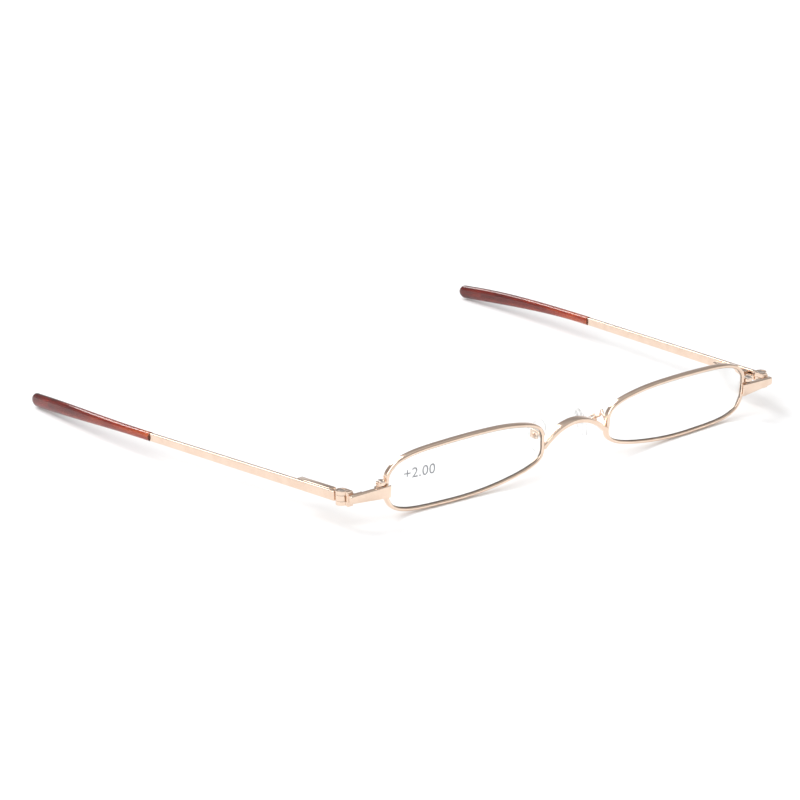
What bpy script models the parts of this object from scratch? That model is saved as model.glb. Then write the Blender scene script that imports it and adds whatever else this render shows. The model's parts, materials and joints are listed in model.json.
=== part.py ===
"""Folding reading glasses: slim half-eye metal frame with spring hinges and translucent tips.

Units in this script are millimetres, written to Blender in metres. +X is the wearer's left,
+Y runs from the front to the temple tips, +Z is up. The glasses stand on their rims and tips.

The front is drawn in a front frame (x, n, v): x sideways, n backwards through the lens and v up
the lens, which leans forward by TILT. The left half is modelled and the right half mirrors it.
"""

from math import acos, copysign, cos, pi, radians, sin, sqrt

import bmesh
import bpy
from mathutils import Matrix, Vector

MM = 0.001

# Overall place of the frame: the origin is at the bottom centre of the whole object.
FRONT_Y = -63.117
LIFT = -0.17

# Front
TILT = radians(6.2)
WRAP = radians(2.5)
BASE_RADIUS = 273.0
LENS_MIDDLE = (34.2, 8.3)
WIRE_RADIAL = 0.95
WIRE_DEPTH = 1.5
GROOVE_DEPTH = 0.42
SPLIT_V = 8.57
SPLIT_GAP = 0.14
LENS_THICK_MIDDLE = 1.9
LENS_THICK_EDGE = 1.15
OUTLINE = (
    (10.2, 6.45), (10.2, 8.61), (10.4, 10.98), (11.8, 12.88), (15.2, 14.33), (22.0, 15.51),
    (30.4, 15.87), (39.9, 15.61), (47.8, 14.89), (52.7, 13.45), (55.15, 11.18), (55.6, 9.23),
    (55.6, 6.55), (55.2, 4.39), (53.4, 2.12), (48.8, 0.78), (39.9, 0.51), (30.4, 0.72),
    (21.5, 1.71), (14.9, 3.05), (11.3, 4.64),
)
OUTLINE_STEPS = 3

# Bridge
BRIDGE_LINE = ((9.52, 7.6), (8.5, 8.4), (6.6, 9.8), (4.3, 11.0), (2.0, 11.65))
BRIDGE_CROWN_V = 11.85
BRIDGE_DEPTH = 2.3
BRIDGE_THICK = 1.1
BRIDGE_N = 1.9

# Endpiece and rim lock
END_X = 65.7
BOSS_X = (56.12, 58.5)
BOSS_BACK_N = 3.95
END_BACK_N = 4.12
END_FRONT_N = (1.74, 2.9)
END_BEND = (61.5, 3.55)
END_V_INNER = (5.4, 8.47)
END_V_OUTER = (5.8, 7.65)
LAP_BACK_N = 2.06
LOCK_SCREW = (57.25, 2.95)
LOCK_V = (8.64, 9.5)
LOCK_HOLE_R = 0.62
LOCK_SHANK_R = 0.56
LOCK_HEAD_R = 0.86
LOCK_HEAD_DEPTH = 0.32
SCREW_LIFT = 0.03

# Hinge
PIN_X = 65.5
PIN_N = 6.8
PIN_V = 6.25
KNUCKLE_R = 1.45
KNUCKLE_HALF = 1.7
EYE_HALF = 0.68
PIN_HOLE_R = 0.67
PIN_SHANK_R = 0.61
PIN_HEAD_R = 0.98
HEAD_DEPTH = 0.46
STRAP_SIDE = (-1.45, 0.13)
STRAP_FRONT = -2.3
WEB = ((-1.42, 0.1), (-2.5, -1.62), (-1.6, 1.6))
FLANGE = ((-3.9, 0.05), (-2.62, -2.2), (-1.15, 1.25))

# Temple
SPLAY = radians(3.1)
DROP = radians(1.6)
STRIP_THICK = 1.0
STRIP_FRONT = 1.68
STRIP_HEIGHTS = (2.4, 1.95)
TIP_FROM = 69.6
TIP_TO = 121.4
TIP_BEND_IN = 3.5
TIP_BEND_DOWN = 1.6
CORE_SIZE = (0.9, 1.3)
CORE_END = 112.5
SLEEVE_WALL_GAP = 0.06
TIP_HALF_TALL = (1.12, 1.74)
TIP_HALF_THICK = (0.95, 1.15)
TIP_FLARE = (0.1, 0.85)
TIP_ROUND_END = 1.9
TIP_SIDES = 12

# Spring box and slider, along the temple
BOX_FROM = 4.2
BOX_TO = 16.0
BOX_OUT = 2.0
BOX_HALF = 1.02
BOX_END_WALL = 0.45
CAVITY_HALF = 0.8
CAVITY_DEPTH = 1.7
TONGUE_HALF = 0.48
TONGUE_SIDE = (-1.4, -0.45)
TONGUE_TO = 7.3
PARTITION = (7.7, 8.4)
ROD_R = 0.34
ROD_SIDE = -0.92
ROD_TO = 14.9
SPRING_R = 0.58
SPRING_WIRE_R = 0.1
SPRING_TURNS = 6
SPRING_END = 13.9
COLLAR_R = 0.7
COLLAR_LENGTH = 0.6
SLOT_GAP = 0.06

# Nose pads
PAD_MIDDLE = (7.5, 6.9, 8.1)
PAD_SPLAY = radians(28)
PAD_FRONTAL = radians(20)
PAD_HALF = (3.9, 2.45)
PAD_THICK = 1.7
PAD_AXIS_BACK = 2.15
LUG_HALF = 0.42
PAD_HOLE_R = 0.27
PAD_SHANK_R = 0.23
PAD_HEAD_R = 0.46
PAD_HEAD_DEPTH = 0.26
PAD_BOX_HALF_UP = 0.62
PAD_BOX_BACK = 0.98
PAD_BOX_WALL = 0.26
ARM_R = 0.34
CHEEK_FROM = 0.5
CHEEK_TO = 0.78


def clear_scene():
    for old in list(bpy.data.objects):
        bpy.data.objects.remove(old, do_unlink=True)


def material(name, colour, roughness, metallic=0.0, alpha=1.0):
    made = bpy.data.materials.new(name)
    made.use_nodes = True
    shader = made.node_tree.nodes["Principled BSDF"]
    shader.inputs["Base Color"].default_value = (*colour, 1.0)
    shader.inputs["Roughness"].default_value = roughness
    shader.inputs["Metallic"].default_value = metallic
    shader.inputs["Alpha"].default_value = alpha
    return made


# Frames ---------------------------------------------------------------------------------------

def front_frame():
    """Matrix from front-frame millimetres to world millimetres."""
    return Matrix.Translation((0.0, FRONT_Y, LIFT)) @ Matrix.Rotation(TILT, 4, "X")


def leaf_frame():
    """Front frame moved to the middle of the left hinge pin."""
    return front_frame() @ Matrix.Translation((PIN_X, PIN_N, PIN_V))


def pin_frame():
    """Upright frame at the middle of the left hinge pin: folding keeps every point at its height."""
    return Matrix.Translation(leaf_frame().translation)


def temple_frame():
    """(outwards, along, up) frame of the left temple, from the middle of the hinge pin."""
    along = Vector((sin(SPLAY) * cos(DROP), cos(SPLAY) * cos(DROP), -sin(DROP)))
    outwards = Vector((cos(SPLAY), -sin(SPLAY), 0.0))
    up = outwards.cross(along)
    turn = Matrix((outwards, along, up)).transposed().to_4x4()
    return Matrix.Translation(pin_frame().translation) @ turn


def pad_frame():
    """(towards the back, up the pad, towards the nose) frame of the left pad."""
    up = Vector((-sin(PAD_FRONTAL), 0.0, cos(PAD_FRONTAL)))
    back = Vector((sin(PAD_SPLAY), cos(PAD_SPLAY), 0.0))
    back = (back - up * back.dot(up)).normalized()
    nose = back.cross(up)
    if nose.x > 0:
        nose = -nose
    turn = Matrix((back, up, nose)).transposed().to_4x4()
    return front_frame() @ Matrix.Translation(PAD_MIDDLE) @ turn


# Shape helpers --------------------------------------------------------------------------------

def smooth_line(points, steps, closed):
    """Catmull-Rom curve through 2-D or 3-D points, with equal steps between neighbours."""
    line = [Vector(p) for p in points]
    if not closed:
        line = [line[0] * 2 - line[1]] + line + [line[-1] * 2 - line[-2]]
    count = len(line)
    spans = range(count) if closed else range(1, count - 2)
    made = []
    for i in spans:
        a, b, c, d = (line[(i + k) % count] for k in (-1, 0, 1, 2))
        for step in range(steps):
            t = step / steps
            made.append(0.5 * (2 * b + (c - a) * t + (2 * a - 5 * b + 4 * c - d) * t * t
                               + (3 * b - a - 3 * c + d) * t ** 3))
    if not closed:
        made.append(line[-2].copy())
    return made


def loft(rings, closed=False):
    """Skin a list of rings of 3-D points, with a flat face on each open end."""
    bm = bmesh.new()
    loops = [[bm.verts.new(p) for p in ring] for ring in rings]
    count = len(rings[0])
    pairs = list(zip(loops, loops[1:]))
    if closed:
        pairs.append((loops[-1], loops[0]))
    for near, far in pairs:
        for i in range(count):
            j = (i + 1) % count
            bm.faces.new((near[i], near[j], far[j], far[i]))
    if not closed:
        bm.faces.new(list(reversed(loops[0])))
        bm.faces.new(loops[-1])
    return solid(bm)


def solid(bm):
    bmesh.ops.recalc_face_normals(bm, faces=bm.faces)
    return bm


def box(x, y, z):
    """Block between two limits on each axis."""
    ring = ((x[0], y[0]), (x[1], y[0]), (x[1], y[1]), (x[0], y[1]))
    return loft([[Vector((a, b, c)) for a, b in ring] for c in z])


def chamfered(a, b, cut):
    """Eight-cornered section between the limits a and b, with its corners cut off."""
    (a0, a1), (b0, b1) = a, b
    return [(a0 + cut, b0), (a1 - cut, b0), (a1, b0 + cut), (a1, b1 - cut),
            (a1 - cut, b1), (a0 + cut, b1), (a0, b1 - cut), (a0, b0 + cut)]


def divided(contour, parts):
    """The same closed contour with each side cut into equal parts."""
    made = []
    for i, corner in enumerate(contour):
        far = Vector(contour[(i + 1) % len(contour)])
        made += [Vector(corner).lerp(far, part / parts) for part in range(parts)]
    return made


def circle(radius, count, middle=(0.0, 0.0)):
    turn = 2 * pi / count
    return [(middle[0] + radius * cos(turn * i), middle[1] + radius * sin(turn * i))
            for i in range(count)]


def turned(profile, count=16, middle=(0.0, 0.0)):
    """Solid of revolution about the third axis from (radius, height) pairs."""
    return loft([[Vector((x, y, height)) for x, y in circle(radius, count, middle)]
                 for radius, height in profile])


def bored(contour, ends, bores, hole=(0.0, 0.0)):
    """Plate with a stepped round hole. bores lists (radius, height) from bottom to top."""
    angles = [Vector((x - hole[0], y - hole[1])).normalized() for x, y in contour]
    outer = [[Vector((x, y, z)) for x, y in contour] for z in ends]
    inner = [[Vector((hole[0] + r * a.x, hole[1] + r * a.y, z)) for a in angles] for r, z in bores]
    return loft([outer[0], outer[1]] + inner[::-1], closed=True)


def boolean(first, second, kind):
    """Join or cut two closed meshes exactly, and return the result as one mesh."""
    objects = []
    for bm in (first, second):
        mesh = bpy.data.meshes.new("work")
        bm.to_mesh(mesh)
        bm.free()
        work = bpy.data.objects.new("work", mesh)
        bpy.context.scene.collection.objects.link(work)
        objects.append(work)
    made = objects[0].modifiers.new("boolean", "BOOLEAN")
    made.operation = kind
    made.solver = "EXACT"
    made.object = objects[1]
    bpy.context.view_layer.update()
    evaluated = objects[0].evaluated_get(bpy.context.evaluated_depsgraph_get())
    bm = bmesh.new()
    bm.from_mesh(evaluated.to_mesh())
    evaluated.to_mesh_clear()
    for work in objects:
        mesh = work.data
        bpy.data.objects.remove(work, do_unlink=True)
        bpy.data.meshes.remove(mesh)
    return bm


def moved(bm, matrix):
    """Transform a mesh, and keep its faces outwards under a mirror image."""
    bmesh.ops.transform(bm, matrix=matrix, verts=bm.verts)
    if matrix.determinant() < 0:
        bmesh.ops.reverse_faces(bm, faces=bm.faces)
    return bm


def place(name, bm, look, axis_point):
    """Write one side's mesh, in world millimetres, as an object with its origin on its joint."""
    bmesh.ops.remove_doubles(bm, verts=bm.verts, dist=1e-5)
    bmesh.ops.transform(bm, matrix=Matrix.Translation(-axis_point), verts=bm.verts)
    bmesh.ops.transform(bm, matrix=Matrix.Scale(MM, 4), verts=bm.verts)
    mesh = bpy.data.meshes.new(name)
    bm.to_mesh(mesh)
    mesh.materials.append(look)
    mesh.shade_smooth()
    mesh.set_sharp_from_angle(angle=radians(35))
    made = bpy.data.objects.new(name, mesh)
    made.location = axis_point * MM
    bpy.context.scene.collection.objects.link(made)
    return made


def place_pair(name, bm, matrix, look, axis_point=None):
    """Place the left piece and its mirror image on the right."""
    moved(bm, matrix)
    point = axis_point or Vector((0.0, 0.0, 0.0))
    twin = moved(bm.copy(), Matrix.Scale(-1, 4, (1, 0, 0)))
    place(name + "_left", bm, look, point)
    place(name + "_right", twin, look, Vector((-point.x, point.y, point.z)))
    bm.free()
    twin.free()


# Front ----------------------------------------------------------------------------------------

def lens_sag(u, v):
    """How far the lens and its rim curve back at (u, v) in the lens plane."""
    return ((u - LENS_MIDDLE[0]) ** 2 + (v - LENS_MIDDLE[1]) ** 2) / (2 * BASE_RADIUS)


def lens_point(u, v, depth):
    """Front-frame point at lens coordinates (u, v), depth behind the curved middle surface."""
    behind = lens_sag(u, v) + depth
    return Vector((u * cos(WRAP) - behind * sin(WRAP), u * sin(WRAP) + behind * cos(WRAP), v))


def rim_line():
    """The rim's centre line, once round from just above the split, as (u, v) and its outward."""
    loop = smooth_line(OUTLINE, OUTLINE_STEPS, closed=True)
    edges = []
    for i, point in enumerate(loop):
        edge = loop[(i + 1) % len(loop)] - loop[i - 1]
        edges.append(Vector((-edge.y, edge.x)).normalized())
    start = next(i for i, p in enumerate(loop) if p.x > 50 and p.y < SPLIT_V - SPLIT_GAP)
    order = list(range(start, len(loop))) + list(range(start))
    line = [(loop[i], edges[i]) for i in order]
    kept = [pair for pair in line if pair[0].x < 50 or abs(pair[0].y - SPLIT_V) > SPLIT_GAP * 2]
    lower = Vector((kept[0][0].x, SPLIT_V - SPLIT_GAP / 2))
    upper = Vector((kept[-1][0].x, SPLIT_V + SPLIT_GAP / 2))
    level = Vector((1.0, 0.0))
    return [(lower, level)] + kept + [(upper, level)]


def wire_section():
    """Rim wire section as (outward, depth) pairs, with the lens groove on its inner side."""
    out, half = WIRE_RADIAL / 2, WIRE_DEPTH / 2
    cut = 0.22
    groove_half = 0.42
    lip = 0.1
    back = [(out, half - cut), (out - cut, half), (-out + lip, half), (-out, half - lip)]
    groove = [(-out, groove_half), (-out + GROOVE_DEPTH, 0.0), (-out, -groove_half)]
    ahead = [(-out, -half + lip), (-out + lip, -half), (out - cut, -half), (out, -half + cut)]
    return back + groove + ahead


def make_rim():
    rings = []
    for point, out in rim_line():
        ring = []
        for radial, depth in wire_section():
            at = point + out * radial
            sag = lens_sag(*point) - lens_sag(*at)
            ring.append(lens_point(at.x, at.y, depth + sag))
        rings.append(ring)
    return loft(rings)


def make_lens():
    """Meniscus lens: a bevelled edge in the groove, thicker in the middle."""
    loop = smooth_line(OUTLINE, OUTLINE_STEPS, closed=True)
    edge = []
    for i, point in enumerate(loop):
        along = loop[(i + 1) % len(loop)] - loop[i - 1]
        edge.append((point, Vector((-along.y, along.x)).normalized()))
    bevel_half = 0.3
    inset = WIRE_RADIAL / 2 + 0.05
    apex = inset - GROOVE_DEPTH + 0.08
    middle = Vector(LENS_MIDDLE)

    def ring(share, offset, thickness, side):
        made = []
        for point, out in edge:
            at = middle + (point - out * offset - middle) * share
            made.append(lens_point(at.x, at.y, side * thickness / 2))
        return made

    def thick(share):
        return LENS_THICK_EDGE + (LENS_THICK_MIDDLE - LENS_THICK_EDGE) * (1 - share * share)

    shares = (0.06, 0.6, 1.0)
    rings = [ring(s, inset, thick(s), -1) for s in shares]
    bevel = 2 * bevel_half
    rings += [ring(1.0, inset, bevel, -1), ring(1.0, apex, 0.0, 1), ring(1.0, inset, bevel, 1)]
    rings += [ring(s, inset, thick(s), 1) for s in reversed(shares)]
    return loft(rings)


def make_bridge():
    half = [Vector((x, v)) for x, v in BRIDGE_LINE]
    points = half + [Vector((0.0, BRIDGE_CROWN_V))] + [Vector((-p.x, p.y)) for p in reversed(half)]
    line = smooth_line(points, 3, closed=False)
    thick, deep = BRIDGE_THICK / 2, BRIDGE_DEPTH / 2
    section = chamfered((-thick, thick), (-deep, deep), 0.2)
    rings = []
    for i, point in enumerate(line):
        along = line[min(i + 1, len(line) - 1)] - line[max(i - 1, 0)]
        across = Vector((along.y, -along.x)).normalized()
        if i in (0, len(line) - 1):
            across = Vector((0.0, 1.0))
        middle = Vector((point.x, BRIDGE_N, point.y))
        rings.append([middle + Vector((across.x * a, b, across.y * a)) for a, b in section])
    return loft(rings)


def make_endpiece():
    """Tapering bar from the rim to the hinge, with a boss for the lock screw and a lap on the rim."""
    def section(x, back, cut=0.16):
        share = max(0.0, (x - BOSS_X[0]) / (END_X - BOSS_X[0]))
        front = END_FRONT_N[0] + (END_FRONT_N[1] - END_FRONT_N[0]) * share
        low = END_V_INNER[0] + (END_V_OUTER[0] - END_V_INNER[0]) * share
        high = END_V_INNER[1] + (END_V_OUTER[1] - END_V_INNER[1]) * share
        return [Vector((x, n, v)) for n, v in chamfered((front, back), (low, high), cut)]

    behind_boss = END_FRONT_N[0] + END_BACK_N - END_FRONT_N[1] + 0.25
    rings = [section(BOSS_X[0] - 1.0, LAP_BACK_N, 0.1), section(BOSS_X[0] - 0.02, LAP_BACK_N, 0.1)]
    rings += [section(BOSS_X[0], BOSS_BACK_N), section(BOSS_X[1], BOSS_BACK_N)]
    rings += [section(BOSS_X[1] + 0.5, behind_boss), section(*END_BEND)]
    rings += [section(END_X - 0.25, END_BACK_N), section(END_X, END_BACK_N - 0.12, 0.3)]
    hole = turned([(LOCK_HOLE_R, END_V_INNER[0] - 1.0), (LOCK_HOLE_R, END_V_INNER[1] + 1.0)], 14, LOCK_SCREW)
    return boolean(loft(rings), hole, "DIFFERENCE")


def make_rim_lock():
    x = (BOSS_X[0] + 0.04, BOSS_X[1] - 0.15)
    n = (2.2, BOSS_BACK_N - 0.1)
    contour = divided(chamfered(x, n, 0.3), 3)
    return bored(contour, LOCK_V, [(LOCK_HOLE_R, LOCK_V[0]), (LOCK_HOLE_R, LOCK_V[1])], LOCK_SCREW)


def slot(middle, top, length, width=0.24, depth=0.2):
    half = length / 2
    return box((middle[0] - half, middle[0] + half), (middle[1] - width / 2, middle[1] + width / 2),
               (top - depth, top + 0.3))


def screw(shank_r, head_r, start, seat, depth, sides, middle=(0.0, 0.0), width=0.24):
    """Cheese-head screw along the third axis, with a chamfered end and a slotted head."""
    top = seat + depth
    profile = [(shank_r - 0.1, start - 0.12), (shank_r, start), (shank_r, seat), (head_r, seat),
               (head_r, top - 0.1), (head_r - 0.12, top)]
    cut = slot(middle, top, 3 * head_r, width, 0.45 * depth)
    return boolean(turned(profile, sides, middle), cut, "DIFFERENCE")


def make_lock_screw():
    seat = LOCK_V[1] + SCREW_LIFT
    return screw(LOCK_SHANK_R, LOCK_HEAD_R, END_V_INNER[0] + 0.6, seat, LOCK_HEAD_DEPTH, 14, LOCK_SCREW)


# Hinge ----------------------------------------------------------------------------------------

def knuckle_contour():
    """Round barrel with a strap that runs forwards to the flange, around the pin at (0, 0)."""
    corners = [Vector((side, STRAP_FRONT)) for side in STRAP_SIDE]
    start = -acos(STRAP_SIDE[1] / KNUCKLE_R)
    turns = 18
    arc = [start + (pi - start) * i / turns for i in range(turns + 1)]
    round_side = [Vector((KNUCKLE_R * cos(a), KNUCKLE_R * sin(a))) for a in arc]
    left = [round_side[-1].lerp(corners[0], share) for share in (0.35, 0.7)]
    bottom = [corners[0].lerp(corners[1], 0.5)]
    right = [corners[1].lerp(round_side[0], 0.5)]
    return round_side + left + [corners[0]] + bottom + [corners[1]] + right


def make_hinge_leaf(to_flange):
    """Two knuckles round the pin, joined by a web to the flange on the endpiece."""
    contour = knuckle_contour()
    seat = KNUCKLE_HALF - HEAD_DEPTH - SCREW_LIFT
    gap = EYE_HALF + 0.05
    wide = PIN_HEAD_R + 0.06
    lower = bored(contour, (-KNUCKLE_HALF, -gap), [(PIN_HOLE_R, -KNUCKLE_HALF), (PIN_HOLE_R, -gap)])
    bores = [(PIN_HOLE_R, gap), (PIN_HOLE_R, seat), (wide, seat), (wide, KNUCKLE_HALF)]
    upper = bored(contour, (gap, KNUCKLE_HALF), bores)
    made = boolean(lower, moved(box(*WEB), to_flange), "UNION")
    made = boolean(made, upper, "UNION")
    return boolean(made, moved(box(*FLANGE), to_flange), "UNION")


def make_hinge_screw():
    seat = KNUCKLE_HALF - HEAD_DEPTH
    return screw(PIN_SHANK_R, PIN_HEAD_R, -KNUCKLE_HALF, seat, HEAD_DEPTH - 0.02, 18)


def make_slider(to_temple):
    """Eye round the pin, a tongue into the box and a rod through the spring."""
    bores = [(PIN_HOLE_R, -EYE_HALF), (PIN_HOLE_R, EYE_HALF)]
    eye = bored(circle(KNUCKLE_R, 24), (-EYE_HALF, EYE_HALF), bores)
    tongue = moved(box(TONGUE_SIDE, (1.0, TONGUE_TO), (-TONGUE_HALF, TONGUE_HALF)), to_temple)
    profile = [(ROD_R, TONGUE_TO - 0.2), (ROD_R, ROD_TO - 0.1), (ROD_R - 0.1, ROD_TO)]
    rod = moved(turned(profile, 10), to_temple @ rod_frame())
    return boolean(boolean(eye, tongue, "UNION"), rod, "UNION")


# Temple ---------------------------------------------------------------------------------------

def rod_frame():
    """Temple frame with its third axis along the slider's rod."""
    return Matrix.Translation((ROD_SIDE, 0.0, 0.0)) @ Matrix.Rotation(-pi / 2, 4, "X")


def make_spring_box():
    """Channel closed by the temple strip, with a slot for the tongue and a wall for the spring."""
    wall = -0.04
    outer_ring = chamfered((-BOX_OUT, wall), (-BOX_HALF, BOX_HALF), 0.22)
    body = loft([[Vector((a, t, b)) for a, b in outer_ring] for t in (BOX_FROM, BOX_TO)])
    half = TONGUE_HALF + SLOT_GAP
    front = box((TONGUE_SIDE[0] - SLOT_GAP, 1.0), (BOX_FROM - 1.0, PARTITION[0]), (-half, half))
    rear = box((-CAVITY_DEPTH, 1.0), (PARTITION[1], BOX_TO - BOX_END_WALL), (-CAVITY_HALF, CAVITY_HALF))
    half = ROD_R + SLOT_GAP
    rod_slot = box((ROD_SIDE - half, 1.0), (PARTITION[0] - 0.3, PARTITION[1] + 0.3), (-half, half))
    made = boolean(body, front, "DIFFERENCE")
    made = boolean(made, rear, "DIFFERENCE")
    return boolean(made, rod_slot, "DIFFERENCE")


def make_spring():
    """Open coil round the rod, between the box's wall and the collar."""
    start = PARTITION[1] + SPRING_WIRE_R + 0.05
    end = SPRING_END
    steps = 8
    sides = 5
    rings = []
    for i in range(SPRING_TURNS * steps + 1):
        turn = 2 * pi * i / steps
        t = start + (end - start) * i / (SPRING_TURNS * steps)
        radial = Vector((cos(turn), 0.0, sin(turn)))
        middle = Vector((ROD_SIDE, t, 0.0)) + radial * SPRING_R
        ring = []
        for k in range(sides):
            angle = 2 * pi * k / sides
            around = radial * cos(angle) + Vector((0.0, sin(angle), 0.0))
            ring.append(middle + around * SPRING_WIRE_R)
        rings.append(ring)
    return loft(rings)


def make_collar():
    start = SPRING_END + SPRING_WIRE_R + 0.05
    end = start + COLLAR_LENGTH
    bore = ROD_R + 0.03
    made = bored(circle(COLLAR_R, 14), (start, end), [(bore, start), (bore, end)])
    return moved(made, rod_frame())


def temple_line(t):
    """Centre line of the temple at t along it: straight, then bent in and down over the tip."""
    share = max(0.0, (t - TIP_FROM) / (TIP_TO - TIP_FROM))
    return Vector((STRIP_THICK / 2 - TIP_BEND_IN * share ** 2, t, -TIP_BEND_DOWN * share ** 2))


def temple_ring(t, section):
    middle = temple_line(t)
    ahead = (temple_line(t + 0.01) - middle).normalized()
    side = Vector((ahead.y, -ahead.x, 0.0)).normalized()
    up = side.cross(ahead)
    return [middle + side * a + up * b for a, b in section]


def core_stations():
    """Where the core and the bore round it have their rings, so that both bend alike."""
    steps = 8
    return [TIP_FROM + (CORE_END - TIP_FROM) * i / steps for i in range(steps + 1)]


def make_temple():
    """Flat strip that tapers to the tip, then the thin core inside the tip."""
    half = STRIP_THICK / 2
    rings = []
    for t in (STRIP_FRONT, TIP_FROM - 0.08):
        share = (t - STRIP_FRONT) / (TIP_FROM - STRIP_FRONT)
        tall = (STRIP_HEIGHTS[0] + (STRIP_HEIGHTS[1] - STRIP_HEIGHTS[0]) * share) / 2
        rings.append(temple_ring(t, chamfered((-half, half), (-tall, tall), 0.18)))
    wide, high = CORE_SIZE[0] / 2, CORE_SIZE[1] / 2
    core = chamfered((-wide, wide), (-high, high), 0.15)
    rings.append(temple_ring(TIP_FROM - 0.04, core))
    rings += [temple_ring(t, core) for t in core_stations()[1:]]
    return loft(rings)


def sleeve_section(t):
    """Rounded section of the tip: slim at its mouth, a paddle near its end."""
    share = (t - TIP_FROM) / (TIP_TO - TIP_FROM)
    rise = min(1.0, max(0.0, (share - TIP_FLARE[0]) / (TIP_FLARE[1] - TIP_FLARE[0])))
    tall = TIP_HALF_TALL[0] + (TIP_HALF_TALL[1] - TIP_HALF_TALL[0]) * rise * rise * (3 - 2 * rise)
    thick = TIP_HALF_THICK[0] + (TIP_HALF_THICK[1] - TIP_HALF_THICK[0]) * share
    left = (TIP_TO - t) / TIP_ROUND_END
    if left < 1:
        close = sqrt(max(0.0, 1 - (1 - left) ** 2))
        tall *= close
        thick *= 0.35 + 0.65 * close
    power = 0.88
    section = []
    for i in range(TIP_SIDES):
        angle = 2 * pi * i / TIP_SIDES
        a, b = cos(angle), sin(angle)
        section.append((copysign(thick * abs(a) ** power, a), copysign(tall * abs(b) ** power, b)))
    return section


def bore_section():
    """Rectangular bore with chamfered corners, in step with the tip's own section."""
    a = CORE_SIZE[0] / 2 + SLEEVE_WALL_GAP
    b = CORE_SIZE[1] / 2 + SLEEVE_WALL_GAP
    cut = 0.12
    quarter = [(a, 0.0), (a, b - cut), (a - cut, b)]
    across = [(0.0, b), (cut - a, b), (-a, b - cut)]
    half = quarter + across
    return half + [(-x, -y) for x, y in half]


def make_tip():
    steps = 12
    stations = [TIP_FROM + (TIP_TO - 2.0 - TIP_FROM) * i / steps for i in range(steps + 1)]
    stations += [TIP_TO - 1.3, TIP_TO - 0.7, TIP_TO - 0.3, TIP_TO - 0.08]
    outer = [temple_ring(t, sleeve_section(t)) for t in stations]
    inner = [temple_ring(t, bore_section()) for t in core_stations() + [CORE_END + 0.5]]
    bm = bmesh.new()
    outside = [[bm.verts.new(p) for p in ring] for ring in outer]
    inside = [[bm.verts.new(p) for p in ring] for ring in inner]
    chain = outside[::-1] + inside
    for near, far in zip(chain, chain[1:]):
        for i in range(TIP_SIDES):
            j = (i + 1) % TIP_SIDES
            bm.faces.new((near[i], near[j], far[j], far[i]))
    bm.faces.new(outside[-1])
    bm.faces.new(inside[-1])
    return solid(bm)


# Nose pads ------------------------------------------------------------------------------------

def pad_outline(scale, count=22):
    """Teardrop outline (back, up) of the pad: wider towards its lower end."""
    half_up, half_back = PAD_HALF
    made = []
    for i in range(count):
        angle = 2 * pi * i / count
        widen = 1.0 - 0.16 * sin(angle)
        made.append((scale * half_back * cos(angle) * widen, scale * half_up * sin(angle)))
    return made


def make_nose_pad():
    """Soft pad, flat on the lug side and crowned towards the nose."""
    levels = ((0.9, 0.0), (1.0, 0.3), (1.0, 0.75), (0.9, 1.2), (0.68, 1.55), (0.35, PAD_THICK))
    return loft([[Vector((a, b, c)) for a, b in pad_outline(scale)] for scale, c in levels])


def pad_axis():
    """Pad frame moved to the pad's rocking axis, its third axis along it."""
    return Matrix.Translation((0.0, 0.0, -PAD_AXIS_BACK)) @ Matrix.Rotation(pi / 2, 4, "Y")


def pad_axis_hole():
    return moved(turned([(PAD_HOLE_R, -3.0), (PAD_HOLE_R, 3.0)], 10), pad_axis())


def make_pad_insert():
    """Plate moulded into the pad, and the lug that the pad's screw goes through."""
    share = 0.52
    outline = pad_outline(share, 18)
    plate = loft([[Vector((a, b, c)) for a, b in outline] for c in (-0.42, -0.04)])
    half = (-LUG_HALF, LUG_HALF)
    lug = box(half, half, (-PAD_AXIS_BACK - 0.55, -0.3))
    return boolean(boolean(plate, lug, "UNION"), pad_axis_hole(), "DIFFERENCE")


def make_pad_box():
    """Two cheeks and a back wall round the lug."""
    low = -PAD_AXIS_BACK - PAD_BOX_BACK
    half = PAD_BOX_HALF_UP
    body = box((-CHEEK_TO, CHEEK_TO), (-half, half), (low, -PAD_AXIS_BACK + 0.62))
    space = box((-CHEEK_FROM, CHEEK_FROM), (-2 * half, 2 * half), (low + PAD_BOX_WALL, 1.0))
    return boolean(boolean(body, space, "DIFFERENCE"), pad_axis_hole(), "DIFFERENCE")


def make_pad_screw():
    made = screw(PAD_SHANK_R, PAD_HEAD_R, -CHEEK_TO, CHEEK_TO + SCREW_LIFT, PAD_HEAD_DEPTH, 12, width=0.16)
    return moved(made, pad_axis())


def make_pad_arm(to_front):
    """Bent round wire from the back of the rim to the back wall of the pad box."""
    end = to_front @ Vector((0.0, 0.0, -PAD_AXIS_BACK - PAD_BOX_BACK - 0.05))
    before = to_front @ Vector((0.0, 0.2, -PAD_AXIS_BACK - 2.1))
    start = lens_point(10.25, 10.3, WIRE_DEPTH / 2 + 0.05)
    points = [start, start + Vector((0.1, 0.9, 0.25)), start + Vector((0.9, 2.3, 0.55)), before, end]
    line = smooth_line(points, 4, closed=False)
    rings = []
    for i, point in enumerate(line):
        ahead = (line[min(i + 1, len(line) - 1)] - line[max(i - 1, 0)]).normalized()
        if i == 0:
            ahead = Vector((0.0, 1.0, 0.0))
        if i == len(line) - 1:
            ahead = (end - before).normalized()
        side = ahead.cross(Vector((0.0, 0.0, 1.0))).normalized()
        up = side.cross(ahead)
        rings.append([point + side * a + up * b for a, b in circle(ARM_R, 8)])
    return loft(rings)


# Assembly -------------------------------------------------------------------------------------

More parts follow.
